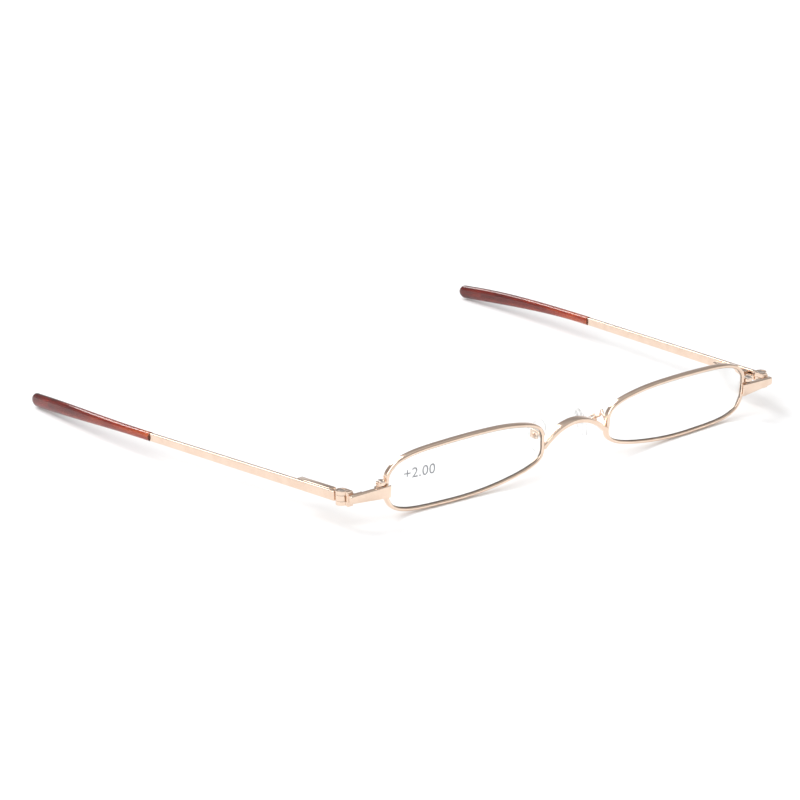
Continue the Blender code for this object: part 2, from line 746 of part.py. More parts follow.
def build():
    clear_scene()
    gold = material("rose_gold", (0.86, 0.62, 0.50), 0.24, 1.0)
    steel = material("steel", (0.62, 0.60, 0.58), 0.3, 1.0)
    clear_lens = material("clear_lens", (0.97, 0.98, 0.98), 0.03, 0.0, 0.25)
    clear_pad = material("clear_pad", (0.93, 0.93, 0.91), 0.2, 0.0, 0.45)
    insert = material("pad_insert", (0.88, 0.88, 0.86), 0.3, 0.0, 0.6)
    brown = material("brown_tip", (0.30, 0.09, 0.06), 0.12, 0.0, 0.85)

    front = front_frame()
    pin = pin_frame()
    temple = temple_frame()
    pad = pad_frame()
    pin_point = pin.translation
    pad_point = pad @ Vector((0.0, 0.0, -PAD_AXIS_BACK))
    temple_from_pin = pin.inverted() @ temple

    bridge = moved(make_bridge(), front)
    place("bridge", bridge, gold, Vector((0.0, 0.0, 0.0)))
    bridge.free()
    place_pair("rim", make_rim(), front, gold)
    place_pair("lens", make_lens(), front, clear_lens)
    place_pair("endpiece", make_endpiece(), front, gold)
    place_pair("rim_lock", make_rim_lock(), front, gold)
    place_pair("rim_lock_screw", make_lock_screw(), front, steel)
    place_pair("hinge_leaf", make_hinge_leaf(pin.inverted() @ leaf_frame()), pin, gold)
    place_pair("hinge_screw", make_hinge_screw(), pin, steel)
    place_pair("hinge_slider", make_slider(temple_from_pin), pin, gold, pin_point)
    place_pair("spring_retainer", make_collar(), temple, steel, pin_point)
    place_pair("hinge_spring", make_spring(), temple, steel, pin_point)
    place_pair("spring_box", make_spring_box(), temple, gold, pin_point)
    place_pair("temple", make_temple(), temple, gold, pin_point)
    place_pair("temple_tip", make_tip(), temple, brown, pin_point)
    place_pair("pad_arm", make_pad_arm(front.inverted() @ pad), front, gold)
    place_pair("pad_box", make_pad_box(), pad, gold)
    place_pair("pad_screw", make_pad_screw(), pad, steel)
    place_pair("pad_insert", make_pad_insert(), pad, insert, pad_point)
    place_pair("nose_pad", make_nose_pad(), pad, clear_pad, pad_point)


build()
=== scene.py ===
"""Looks for the folding reading glasses: finer meshes, materials, light and camera round the CAD frame.

Shapes are drawn in millimetres and placed in metres. The left half is drawn and the right half
mirrors it. The lens plane uses (x, n, v): x sideways, n backwards through the lens, v up the lens.
"""

from math import cos, pi, radians, sin, sqrt
import json

import bmesh
import bpy
from mathutils import Matrix, Vector


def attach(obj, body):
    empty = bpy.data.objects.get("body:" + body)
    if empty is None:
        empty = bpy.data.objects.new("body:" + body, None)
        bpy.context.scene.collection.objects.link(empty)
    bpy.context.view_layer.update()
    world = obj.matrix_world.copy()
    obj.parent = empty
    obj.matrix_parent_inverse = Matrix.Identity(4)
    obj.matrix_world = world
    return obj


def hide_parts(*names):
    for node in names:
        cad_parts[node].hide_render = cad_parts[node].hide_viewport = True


MM = 0.001

# Driving dimensions, as in the CAD model
FRONT_Y = -63.117
LIFT = -0.17
TILT = radians(6.2)
WRAP = radians(2.5)
BASE_RADIUS = 273.0
LENS_MIDDLE = (34.2, 8.3)
WIRE_RADIAL = 0.95
WIRE_DEPTH = 1.5
GROOVE_DEPTH = 0.42
SPLIT_V = 8.57
SPLIT_GAP = 0.14
LENS_THICK_MIDDLE = 1.7
LENS_THICK_EDGE = 0.85
OUTLINE = (
    (10.2, 6.45), (10.2, 8.61), (10.4, 10.98), (11.8, 12.88), (15.2, 14.33), (22.0, 15.51),
    (30.4, 15.87), (39.9, 15.61), (47.8, 14.89), (52.7, 13.45), (55.15, 11.18), (55.6, 9.23),
    (55.6, 6.55), (55.2, 4.39), (53.4, 2.12), (48.8, 0.78), (39.9, 0.51), (30.4, 0.72),
    (21.5, 1.71), (14.9, 3.05), (11.3, 4.64),
)
BRIDGE_LINE = ((9.75, 7.45), (8.5, 8.4), (6.6, 9.8), (4.3, 11.0), (2.0, 11.65))
BRIDGE_CROWN_V = 11.85
BRIDGE_DEPTH = 2.3
BRIDGE_THICK = 1.1
BRIDGE_N = 1.9
BRIDGE_FLARE_FROM = 8.3
BRIDGE_FLARE_LENGTH = 1.45
STRIP_THICK = 1.0
STRIP_FRONT = 1.68
STRIP_HEIGHTS = (2.4, 1.95)
TIP_FROM = 69.6
TIP_TO = 121.4
TIP_BEND_IN = 3.5
TIP_BEND_DOWN = 1.6
CORE_SIZE = (0.9, 1.3)
CORE_END = 112.5
SLEEVE_WALL_GAP = 0.06
TIP_HALF_TALL = (1.12, 1.74)
TIP_HALF_THICK = (0.95, 1.15)
TIP_FLARE = (0.1, 0.85)
TIP_ROUND_END = 1.9
LIP_R = 0.1
LIP_LENGTH = 0.15
PAD_MIDDLE = (7.5, 6.9, 8.1)
PAD_SPLAY = radians(28)
PAD_FRONTAL = radians(20)
PAD_HALF = (3.9, 2.45)
PAD_THICK = 1.7
PAD_AXIS_BACK = 2.15
PAD_WIDEST = 0.55

# Nose-pad arm: where it leaves the rim, its steps from there, and its bend and end at the pad
ARM_START = (10.25, 10.3)
ARM_STEPS = ((0.1, 1.1, 0.25), (0.9, 2.5, 0.55))
ARM_BEND = (0.2, 2.1)
ARM_END_BACK = 0.95
ARM_R = 0.34
SOLDER_EXTRA_R = 0.28
SOLDER_REACH = 1.1

# Printed power, read from the front of the right lens
PRINT_TEXT = "+2.00"
PRINT_HEIGHT = 2.6
PRINT_SIZE_PER_HEIGHT = 1.38
PRINT_START = (-51.4, 8.9)
LENS_HALF_WIDTH = 22.0

# How fine the meshes are
OUTLINE_STEPS = 12
BRIDGE_STEPS = 10
TEMPLE_STEPS = 24
TIP_SIDES = 40
TIP_STEPS = 44
ROUND_STEPS = 10
PAD_STEPS = 12
ARM_LINE_STEPS = 12
SMOOTH_ANGLE = 40

# How far into the tip's mouth the faces get painted shade, a near-black copy of the brown
MOUTH_DEPTH = 0.12

# Camera: where it looks, from which way, how far off, and its lens
LOOK_AT = Vector((0.0, 0.0, 0.005))
CAMERA_AZIMUTH = radians(-38.28)
CAMERA_ELEVATION = radians(17.97)
CAMERA_ROLL = radians(-1.30)
CAMERA_DISTANCE = 1.022
CAMERA_LENS = 185.2
CAMERA_SHIFT = (-0.0121, -0.0158)

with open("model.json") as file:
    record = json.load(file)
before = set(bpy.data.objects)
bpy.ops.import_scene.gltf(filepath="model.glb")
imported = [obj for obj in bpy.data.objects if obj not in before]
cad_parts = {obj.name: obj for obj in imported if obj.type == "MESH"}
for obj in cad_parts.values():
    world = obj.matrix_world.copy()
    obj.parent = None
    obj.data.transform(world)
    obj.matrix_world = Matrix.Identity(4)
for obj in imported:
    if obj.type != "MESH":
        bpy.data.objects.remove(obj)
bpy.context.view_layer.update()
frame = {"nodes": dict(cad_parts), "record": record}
joints = {joint["name"]: joint for joint in frame["record"]["behaviour"]["joints"]}
PIN = Vector(joints["fold_left"]["pos_m"]) / MM
ALONG = Vector(joints["spring_slide_left"]["axis"]).normalized()


# Frames ---------------------------------------------------------------------------------------

def front_frame():
    return Matrix.Translation((0.0, FRONT_Y, LIFT)) @ Matrix.Rotation(TILT, 4, "X")


def temple_frame():
    """(outwards, along, up) frame of the left temple, from the middle of the hinge pin."""
    outwards = Vector((ALONG.y, -ALONG.x, 0.0)).normalized()
    up = outwards.cross(ALONG)
    return Matrix.Translation(PIN) @ Matrix((outwards, ALONG, up)).transposed().to_4x4()


def pad_frame():
    """(towards the back, up the pad, towards the nose) frame of the left pad."""
    up = Vector((-sin(PAD_FRONTAL), 0.0, cos(PAD_FRONTAL)))
    back = Vector((sin(PAD_SPLAY), cos(PAD_SPLAY), 0.0))
    back = (back - up * back.dot(up)).normalized()
    nose = back.cross(up)
    if nose.x > 0:
        nose = -nose
    turn = Matrix((back, up, nose)).transposed().to_4x4()
    return front_frame() @ Matrix.Translation(PAD_MIDDLE) @ turn


# Mesh helpers ---------------------------------------------------------------------------------

def smooth_line(points, steps, closed):
    """Catmull-Rom curve through the points, with equal steps between neighbours."""
    line = [Vector(p) for p in points]
    if not closed:
        line = [line[0] * 2 - line[1]] + line + [line[-1] * 2 - line[-2]]
    count = len(line)
    made = []
    for i in (range(count) if closed else range(1, count - 2)):
        a, b, c, d = (line[(i + k) % count] for k in (-1, 0, 1, 2))
        for step in range(steps):
            t = step / steps
            made.append(0.5 * (2 * b + (c - a) * t + (2 * a - 5 * b + 4 * c - d) * t * t
                               + (3 * b - a - 3 * c + d) * t ** 3))
    if not closed:
        made.append(line[-2].copy())
    return made


def loft(rings):
    """Skin a list of rings of 3-D points, with a flat face on each end."""
    bm = bmesh.new()
    loops = [[bm.verts.new(p) for p in ring] for ring in rings]
    count = len(rings[0])
    for near, far in zip(loops, loops[1:]):
        for i in range(count):
            j = (i + 1) % count
            bm.faces.new((near[i], near[j], far[j], far[i]))
    bm.faces.new(list(reversed(loops[0])))
    bm.faces.new(loops[-1])
    bmesh.ops.recalc_face_normals(bm, faces=bm.faces)
    return bm


def rounded(half_a, half_b, radius, steps=4):
    """Rectangle section with round corners, as (a, b) pairs."""
    made = []
    for corner in range(4):
        turn = corner * pi / 2
        middle_a = (half_a - radius) * (1 if corner in (0, 3) else -1)
        middle_b = (half_b - radius) * (1 if corner in (0, 1) else -1)
        for step in range(steps + 1):
            angle = turn + pi / 2 * step / steps
            made.append((middle_a + radius * cos(angle), middle_b + radius * sin(angle)))
    return made


def circle(radius, count):
    return [(radius * cos(2 * pi * i / count), radius * sin(2 * pi * i / count)) for i in range(count)]


def shaded(name, bm, look, smooth_angle):
    mesh = bpy.data.meshes.new(name)
    bm.to_mesh(mesh)
    mesh.materials.append(look)
    mesh.shade_smooth()
    mesh.set_sharp_from_angle(angle=radians(smooth_angle))
    made = bpy.data.objects.new(name, mesh)
    bpy.context.scene.collection.objects.link(made)
    return made


def stand(piece, body, node):
    """Let a finished piece ride on its body, and stand for a CAD node if it has one."""
    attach(piece, body)
    if node:
        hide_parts(node)
    return piece


def body_of(kind, side):
    return "front" if kind == "front" else kind + "_" + side


def place_pair(name, bm, matrix, look, kind, smooth_angle=SMOOTH_ANGLE):
    """Place a piece drawn for the left side, in millimetres, and its mirror image on the right."""
    bmesh.ops.transform(bm, matrix=Matrix.Scale(MM, 4) @ matrix, verts=bm.verts)
    if matrix.determinant() < 0:
        bmesh.ops.reverse_faces(bm, faces=bm.faces)
    made = []
    for side in ("left", "right"):
        if side == "right":
            bmesh.ops.transform(bm, matrix=Matrix.Scale(-1, 4, (1, 0, 0)), verts=bm.verts)
            bmesh.ops.reverse_faces(bm, faces=bm.faces)
        node = name + "_" + side
        piece = shaded("fine_" + node, bm, look, smooth_angle)
        made.append(stand(piece, body_of(kind, side), node))
    bm.free()
    return made


def softened(name, look, body, width):
    """A CAD node's own shape with its edges rounded by width millimetres."""
    bm = bmesh.new()
    bm.from_mesh(frame["nodes"][name].data)
    bmesh.ops.remove_doubles(bm, verts=bm.verts, dist=2e-7)
    bmesh.ops.dissolve_limit(bm, angle_limit=radians(1.5), verts=bm.verts, edges=bm.edges)
    piece = shaded("fine_" + name, bm, look, SMOOTH_ANGLE)
    bm.free()
    bevel = piece.modifiers.new("edges", "BEVEL")
    bevel.width = width * MM
    bevel.segments = 2
    bevel.limit_method = "ANGLE"
    bevel.angle_limit = radians(38)
    bpy.context.view_layer.update()
    evaluated = piece.evaluated_get(bpy.context.evaluated_depsgraph_get())
    mesh = bpy.data.meshes.new_from_object(evaluated)
    piece.modifiers.clear()
    piece.data = mesh
    mesh.shade_smooth()
    mesh.set_sharp_from_angle(angle=radians(SMOOTH_ANGLE))
    return stand(piece, body, name)


def softened_pair(name, look, kind, width):
    for side in ("left", "right"):
        softened(name + "_" + side, look, body_of(kind, side), width)


# Materials ------------------------------------------------------------------------------------

class Nodes:
    """Shorthand for one material's node tree."""

    def __init__(self, name):
        self.material = bpy.data.materials.new(name)
        self.material.use_nodes = True
        self.tree = self.material.node_tree
        self.shader = self.tree.nodes["Principled BSDF"]
        self.output = self.tree.nodes["Material Output"]

    def add(self, kind, **values):
        node = self.tree.nodes.new("ShaderNode" + kind)
        for key, value in values.items():
            if key in node.inputs:
                node.inputs[key].default_value = value
            else:
                setattr(node, key.lower(), value)
        return node

    def link(self, source, target):
        self.tree.links.new(source, target)

    def set(self, **values):
        for key, value in values.items():
            self.shader.inputs[key.replace("_", " ")].default_value = value

    def place(self, scale):
        """Object coordinates in millimetres, times a scale for each axis."""
        where = self.add("TexCoord")
        spread = self.add("Mapping")
        spread.inputs["Scale"].default_value = [1000 * s for s in scale]
        self.link(where.outputs["Object"], spread.inputs["Vector"])
        return spread.outputs["Vector"]

    def noise(self, scale, detail=3.0, roughness=0.55):
        node = self.add("TexNoise", Detail=detail, Roughness=roughness, Scale=1.0)
        self.link(self.place(scale), node.inputs["Vector"])
        return node.outputs["Fac"]

    def spread(self, value, low, high):
        node = self.add("MapRange")
        node.inputs["To Min"].default_value = low
        node.inputs["To Max"].default_value = high
        self.link(value, node.inputs["Value"])
        return node.outputs["Result"]

    def ramp(self, value, stops):
        node = self.add("ValToRGB")
        while len(node.color_ramp.elements) < len(stops):
            node.color_ramp.elements.new(0.5)
        for element, (position, colour) in zip(node.color_ramp.elements, stops):
            element.position = position
            element.color = (*colour, 1.0)
        self.link(value, node.inputs["Fac"])
        return node.outputs["Color"]

    def bump(self, height, distance):
        node = self.add("Bump", Strength=1.0, Distance=distance * MM)
        self.link(height, node.inputs["Height"])
        self.link(node.outputs["Normal"], self.shader.inputs["Normal"])

    def let_lamps_through(self, tint):
        """Shadow rays pass straight through, so that a clear piece casts only a pale shadow."""
        path = self.add("LightPath")
        through = self.add("BsdfTransparent")
        through.inputs["Color"].default_value = (*tint, 1.0)
        mix = self.add("MixShader")
        self.link(path.outputs["Is Shadow Ray"], mix.inputs["Fac"])
        self.link(self.shader.outputs["BSDF"], mix.inputs[1])
        self.link(through.outputs["BSDF"], mix.inputs[2])
        self.link(mix.outputs["Shader"], self.output.inputs["Surface"])


def metal(name, light, dark, roughness, grain):
    """Polished plate with a slight cloudiness, fine polishing lines and soft tarnish."""
    made = Nodes(name)
    cloud = made.noise((0.35, 0.35, 0.35), 4.0)
    made.link(made.ramp(cloud, [(0.3, dark), (0.62, light)]), made.shader.inputs["Base Color"])
    lines = made.noise(grain, 5.0, 0.7)
    made.link(made.spread(lines, roughness[0], roughness[1]), made.shader.inputs["Roughness"])
    made.set(Metallic=1.0)
    made.bump(lines, 0.004)
    return made.material


def clear_glass():
    """Clear lens with real refraction and a little dust."""
    made = Nodes("coated_lens")
    made.set(IOR=1.5)
    made.shader.inputs["Transmission Weight"].default_value = 1.0
    made.shader.inputs["Base Color"].default_value = (0.985, 0.992, 0.99, 1.0)
    dust = made.noise((0.8, 0.8, 0.8), 6.0, 0.7)
    made.link(made.spread(dust, 0.0, 0.03), made.shader.inputs["Roughness"])
    made.let_lamps_through((0.97, 0.975, 0.975))
    return made.material


def clear_soft(name, colour, clearness, roughness):
    """Clear silicone or plastic with a faint milky cloud."""
    made = Nodes(name)
    cloud = made.noise((0.6, 0.6, 0.6), 3.0)
    paler = tuple(min(1.0, c * 1.05) for c in colour)
    made.link(made.ramp(cloud, [(0.35, colour), (0.65, paler)]), made.shader.inputs["Base Color"])
    made.link(made.spread(cloud, roughness * 0.8, roughness * 1.3), made.shader.inputs["Roughness"])
    made.set(IOR=1.41)
    made.shader.inputs["Transmission Weight"].default_value = clearness
    made.let_lamps_through((0.9, 0.9, 0.9))
    return made.material


def brown_plastic(name, share, dim=1.0):
    """Glossy see-through brown: streaked along its length, darker towards the paddle end.

    share is how much light passes, and dim darkens the colour.
    """
    made = Nodes(name)
    streaks = made.noise((0.5, 0.09, 0.6), 4.0, 0.6)
    where = made.add("TexCoord")
    split = made.add("SeparateXYZ")
    made.link(where.outputs["Object"], split.inputs["Vector"])
    along = made.add("MapRange")
    along.inputs["From Min"].default_value = (PIN.y + TIP_FROM) * MM
    along.inputs["From Max"].default_value = (PIN.y + TIP_TO) * MM
    along.inputs["To Min"].default_value = 0.28
    along.inputs["To Max"].default_value = -0.24
    made.link(split.outputs["Y"], along.inputs["Value"])
    total = made.add("Math")
    total.operation = "ADD"
    made.link(streaks, total.inputs[0])
    made.link(along.outputs["Result"], total.inputs[1])
    levels = [(0.2, (0.10, 0.009, 0.007)), (0.45, (0.30, 0.024, 0.012)), (0.66, (0.58, 0.08, 0.022)),
              (0.92, (0.84, 0.24, 0.06))]
    stops = [(position, tuple(dim * c for c in colour)) for position, colour in levels]
    made.link(made.ramp(total.outputs["Value"], stops), made.shader.inputs["Base Color"])
    fine = made.noise((1.6, 0.5, 1.6), 4.0)
    made.link(made.spread(fine, 0.04, 0.12), made.shader.inputs["Roughness"])
    made.set(IOR=1.49)
    made.shader.inputs["Transmission Weight"].default_value = share
    made.shader.inputs["Coat Weight"].default_value = 0.15
    made.shader.inputs["Coat Roughness"].default_value = 0.03
    made.bump(fine, 0.006)
    return made.material


def print_ink():
    made = Nodes("grey_print")
    worn = made.noise((4.0, 4.0, 4.0), 4.0)
    made.link(made.ramp(worn, [(0.3, (0.20, 0.21, 0.23)), (0.7, (0.34, 0.35, 0.37))]),
              made.shader.inputs["Base Color"])
    made.link(made.spread(worn, 0.4, 0.7), made.shader.inputs["Roughness"])
    return made.material


GOLD_LIGHT = (0.86, 0.68, 0.55)
GOLD_DARK = (0.81, 0.615, 0.485)
gold = metal("rose_gold", GOLD_LIGHT, GOLD_DARK, (0.10, 0.2), (3.0, 0.5, 3.0))
gold_brushed = metal("rose_gold_temple", GOLD_LIGHT, GOLD_DARK, (0.14, 0.26), (4.0, 0.12, 9.0))
steel = metal("screw_steel", (0.70, 0.62, 0.56), (0.52, 0.46, 0.42), (0.2, 0.36), (6.0, 6.0, 6.0))
glass = clear_glass()
silicone = clear_soft("pad_silicone", (0.95, 0.95, 0.945), 0.92, 0.38)
insert = clear_soft("pad_insert", (0.94, 0.94, 0.935), 0.9, 0.3)
brown = brown_plastic("brown_tip", 0.7)
# Painted shade: a near-black, almost opaque copy of the brown for the faces at the tip's mouth
brown_tip_painted_shade = brown_plastic("brown_tip_mouth_painted_shade", 0.1, 0.12)
ground = clear_soft("ground_lens_edge", (0.93, 0.93, 0.92), 0.25, 0.55)
ink = print_ink()


# Front ----------------------------------------------------------------------------------------

def lens_sag(u, v):
    return ((u - LENS_MIDDLE[0]) ** 2 + (v - LENS_MIDDLE[1]) ** 2) / (2 * BASE_RADIUS)


def lens_point(u, v, depth):
    """Front-frame point at lens coordinates (u, v), depth behind the curved middle surface."""
    behind = lens_sag(u, v) + depth
    return Vector((u * cos(WRAP) - behind * sin(WRAP), u * sin(WRAP) + behind * cos(WRAP), v))


def outline_with_outwards():
    loop = smooth_line(OUTLINE, OUTLINE_STEPS, closed=True)
    made = []
    for i, point in enumerate(loop):
        edge = loop[(i + 1) % len(loop)] - loop[i - 1]
        made.append((point, Vector((-edge.y, edge.x)).normalized()))
    return made


def rim_line():
    """The rim's centre line, once round from just above the split, with its outward."""
    loop = outline_with_outwards()
    start = next(i for i, (p, _) in enumerate(loop) if p.x > 50 and p.y < SPLIT_V - SPLIT_GAP)
    line = loop[start:] + loop[:start]
    kept = [pair for pair in line if pair[0].x < 50 or abs(pair[0].y - SPLIT_V) > SPLIT_GAP]
    level = Vector((1.0, 0.0))
    lower = Vector((kept[0][0].x, SPLIT_V - SPLIT_GAP / 2))
    upper = Vector((kept[-1][0].x, SPLIT_V + SPLIT_GAP / 2))
    return [(lower, level)] + kept + [(upper, level)]


def wire_section():
    """Rim wire section as (outward, depth) pairs: a round front, and the lens groove inside."""
    out, half = WIRE_RADIAL / 2, WIRE_DEPTH / 2
    steps = 10
    nose = 0.42
    front = []
    for step in range(steps + 1):
        angle = pi * step / steps
        front.append((-out * cos(angle), -half + nose - nose * sin(angle)))
    edge = 0.2
    back = []
    for step in range(5):
        angle = pi / 2 * step / 4
        back.append((out - edge + edge * cos(angle), half - edge + edge * sin(angle)))
    inner = [(-out + 0.12, half), (-out, half - 0.12), (-out, 0.3), (-out + 0.2, 0.12), (-out + 0.2, -0.12)]
    return front + [(out, 0.0)] + back + inner


def make_rim():
    rings = []
    for point, out in rim_line():
        ring = []
        for radial, depth in wire_section():
            at = point + out * radial
            ring.append(lens_point(at.x, at.y, depth + lens_sag(*point) - lens_sag(*at)))
        rings.append(ring)
    return loft(rings)


def lens_thickness(share):
    return LENS_THICK_EDGE + (LENS_THICK_MIDDLE - LENS_THICK_EDGE) * (1 - share * share)


def make_lens():
    """Meniscus lens with a bevelled edge that sits in the rim's groove."""
    edge = outline_with_outwards()
    inset = WIRE_RADIAL / 2 - 0.14
    apex = inset - 0.1
    bevel_half = 0.3
    middle = Vector(LENS_MIDDLE)

    def ring(share, offset, depth):
        made = []
        for point, out in edge:
            at = middle + (point - out * offset - middle) * share
            made.append(lens_point(at.x, at.y, depth))
        return made

    shares = [0.03] + [0.1 * i for i in range(1, 10)] + [0.96, 0.995]
    rings = [ring(s, inset, -lens_thickness(s) / 2) for s in shares]
    rings += [ring(1.0, inset, -bevel_half), ring(1.0, apex, 0.0), ring(1.0, inset, bevel_half)]
    rings += [ring(s, inset, lens_thickness(s) / 2) for s in reversed(shares)]
    made = loft(rings)
    made.faces.ensure_lookup_table()
    first = (len(shares) - 1) * len(edge)
    for face in made.faces[first:first + 4 * len(edge)]:
        face.material_index = 1
    return made


def make_bridge():
    """Flat arched strip whose ends flare into the solder against each rim."""
    half = [Vector(p) for p in BRIDGE_LINE]
    points = half + [Vector((0.0, BRIDGE_CROWN_V))] + [Vector((-p.x, p.y)) for p in reversed(half)]
    line = smooth_line(points, BRIDGE_STEPS, closed=False)
    rings = []
    for i, point in enumerate(line):
        along = line[min(i + 1, len(line) - 1)] - line[max(i - 1, 0)]
        across = Vector((along.y, -along.x)).normalized()
        near_rim = max(0.0, (abs(point.x) - BRIDGE_FLARE_FROM) / BRIDGE_FLARE_LENGTH)
        flare = 1.0 + 0.35 * near_rim ** 2
        section = rounded(BRIDGE_THICK / 2 * flare, BRIDGE_DEPTH / 2 * (0.9 + 0.1 * flare), 0.26)
        ring = []
        for a, b in section:
            ring.append(Vector((point.x + across.x * a, BRIDGE_N + b, point.y + across.y * a)))
        rings.append(ring)
    return loft(rings)


# Temples --------------------------------------------------------------------------------------

def temple_line(t):
    """Centre line of the temple at t along it: straight, then bent in and down over the tip."""
    share = max(0.0, (t - TIP_FROM) / (TIP_TO - TIP_FROM))
    return Vector((STRIP_THICK / 2 - TIP_BEND_IN * share ** 2, t, -TIP_BEND_DOWN * share ** 2))


def temple_ring(t, section):
    middle = temple_line(t)
    ahead = (temple_line(t + 0.01) - middle).normalized()
    side = Vector((ahead.y, -ahead.x, 0.0)).normalized()
    up = side.cross(ahead)
    return [middle + side * a + up * b for a, b in section]


def make_temple():
    """Flat strip with rounded edges that tapers to the tip, then the core inside the tip."""
    half = STRIP_THICK / 2
    rings = []
    ends = ((STRIP_FRONT, 0.2), (STRIP_FRONT + 0.06, 0.08), (STRIP_FRONT + 0.2, 0.0))
    for t, less in ends:
        tall = STRIP_HEIGHTS[0] / 2 - less
        rings.append(temple_ring(t, rounded(half - less, tall, 0.22 - less * 0.6)))
    for i in range(1, TEMPLE_STEPS + 1):
        t = STRIP_FRONT + (TIP_FROM + 0.3 - STRIP_FRONT) * i / TEMPLE_STEPS
        tall = (STRIP_HEIGHTS[0] + (STRIP_HEIGHTS[1] - STRIP_HEIGHTS[0]) * i / TEMPLE_STEPS) / 2
        rings.append(temple_ring(min(t, TIP_FROM - 0.08), rounded(half, tall, 0.22)))
    core = rounded(CORE_SIZE[0] / 2, CORE_SIZE[1] / 2, 0.2)
    rings.append(temple_ring(TIP_FROM - 0.04, core))
    for i in range(1, TEMPLE_STEPS + 1):
        rings.append(temple_ring(TIP_FROM + (CORE_END - TIP_FROM) * i / TEMPLE_STEPS, core))
    return loft(rings)


def squarish(half_a, half_b, power=0.9):
    """Rounded section between an ellipse and a rectangle."""
    made = []
    for i in range(TIP_SIDES):
        a, b = cos(2 * pi * i / TIP_SIDES), sin(2 * pi * i / TIP_SIDES)
        side_a = half_a * abs(a) ** power * (1 if a > 0 else -1)
        side_b = half_b * abs(b) ** power * (1 if b > 0 else -1)
        made.append((side_a, side_b))
    return made


def sleeve_section(t):
    """Section of the tip at t: slim at its mouth, a paddle near its round end."""
    share = (t - TIP_FROM) / (TIP_TO - TIP_FROM)
    rise = min(1.0, max(0.0, (share - TIP_FLARE[0]) / (TIP_FLARE[1] - TIP_FLARE[0])))
    tall = TIP_HALF_TALL[0] + (TIP_HALF_TALL[1] - TIP_HALF_TALL[0]) * rise * rise * (3 - 2 * rise)
    thick = TIP_HALF_THICK[0] + (TIP_HALF_THICK[1] - TIP_HALF_THICK[0]) * share
    left = (TIP_TO - t) / TIP_ROUND_END
    if left < 1:
        close = sqrt(max(0.0, 1 - (1 - left) ** 2))
        tall *= close
        thick *= 0.35 + 0.65 * close
    less = LIP_R * max(0.0, 1 - (t - TIP_FROM) / LIP_LENGTH) ** 2
    return squarish(thick - less, tall - less)


def make_tip():
    """Sleeve over the core, with a rounded mouth, and a solid paddle end."""
    stations = [TIP_FROM, TIP_FROM + 0.05, TIP_FROM + LIP_LENGTH]
    stations += [TIP_FROM + 0.4 + (TIP_TO - 2.4 - TIP_FROM) * i / TIP_STEPS for i in range(TIP_STEPS + 1)]
    stations += [TIP_TO - TIP_ROUND_END * cos(pi / 2 * i / ROUND_STEPS) for i in range(1, ROUND_STEPS)]
    stations.append(TIP_TO - 0.004)
    bore = squarish(CORE_SIZE[0] / 2 + SLEEVE_WALL_GAP, CORE_SIZE[1] / 2 + SLEEVE_WALL_GAP, 0.4)
    bore_to = CORE_END + 0.5
    depths = [TIP_FROM + (bore_to - TIP_FROM) * i / TEMPLE_STEPS for i in range(TEMPLE_STEPS + 1)]
    outside = [temple_ring(t, sleeve_section(t)) for t in stations]
    inside = [temple_ring(t, bore) for t in depths]
    return loft(outside[::-1] + inside)


# Nose pads ------------------------------------------------------------------------------------

def pad_outline(scale, count=48):
    """Teardrop outline (back, up) of the pad: wider towards its lower end."""
    half_up, half_back = PAD_HALF
    made = []
    for i in range(count):
        angle = 2 * pi * i / count
        widen = 1.0 - 0.16 * sin(angle)
        made.append((scale * half_back * cos(angle) * widen, scale * half_up * sin(angle)))
    return made


def make_nose_pad():
    """Soft pad, flat on its back and crowned on the nose side."""
    rings = [(0.86, 0.02), (0.93, 0.0)]
    for i in range(PAD_STEPS + 1):
        angle = -0.35 * pi + (0.85 * pi) * i / PAD_STEPS
        across, rise = cos(angle), sin(angle)
        if angle < 0:
            rings.append((0.93 + 0.07 * across, PAD_WIDEST + 0.5 * rise))
        else:
            scale = across ** 0.55 if across > 0.02 else 0.1
            rings.append((scale, PAD_WIDEST + (PAD_THICK - PAD_WIDEST) * rise))
    return loft([[Vector((a, b, c)) for a, b in pad_outline(scale)] for scale, c in rings])


def make_pad_arm(to_front):
    """Bent round wire from the back of the rim to the pad's box, with solder at the rim."""
    end = to_front @ Vector((0.0, 0.0, -PAD_AXIS_BACK - ARM_END_BACK))
    before = to_front @ Vector((0.0, ARM_BEND[0], -PAD_AXIS_BACK - ARM_BEND[1]))
    start = lens_point(*ARM_START, WIRE_DEPTH / 2 - 0.15)
    points = [start] + [start + Vector(step) for step in ARM_STEPS] + [before, end]
    line = smooth_line(points, ARM_LINE_STEPS, closed=False)
    rings = []
    for i, point in enumerate(line):
        ahead = (line[min(i + 1, len(line) - 1)] - line[max(i - 1, 0)]).normalized()
        side = ahead.cross(Vector((0.0, 0.0, 1.0))).normalized()
        up = side.cross(ahead)
        solder = max(0.0, 1 - (point - start).length / SOLDER_REACH)
        section = circle(ARM_R + SOLDER_EXTRA_R * solder ** 2, 16)
        rings.append([point + side * a + up * b for a, b in section])
    return loft(rings)


# Printed power --------------------------------------------------------------------------------

def in_fixed_order(bm):
    """Number a mesh's elements by their place, because an extrusion leaves them in any order."""
    def corner(vert):
        return tuple(vert.co)

    def middle(item):
        return tuple(sum((vert.co for vert in item.verts), Vector()) / len(item.verts))

    for elements, place in ((bm.verts, corner), (bm.edges, middle), (bm.faces, middle)):
        for index, element in enumerate(sorted(elements, key=place)):
            element.index = index
        elements.sort()


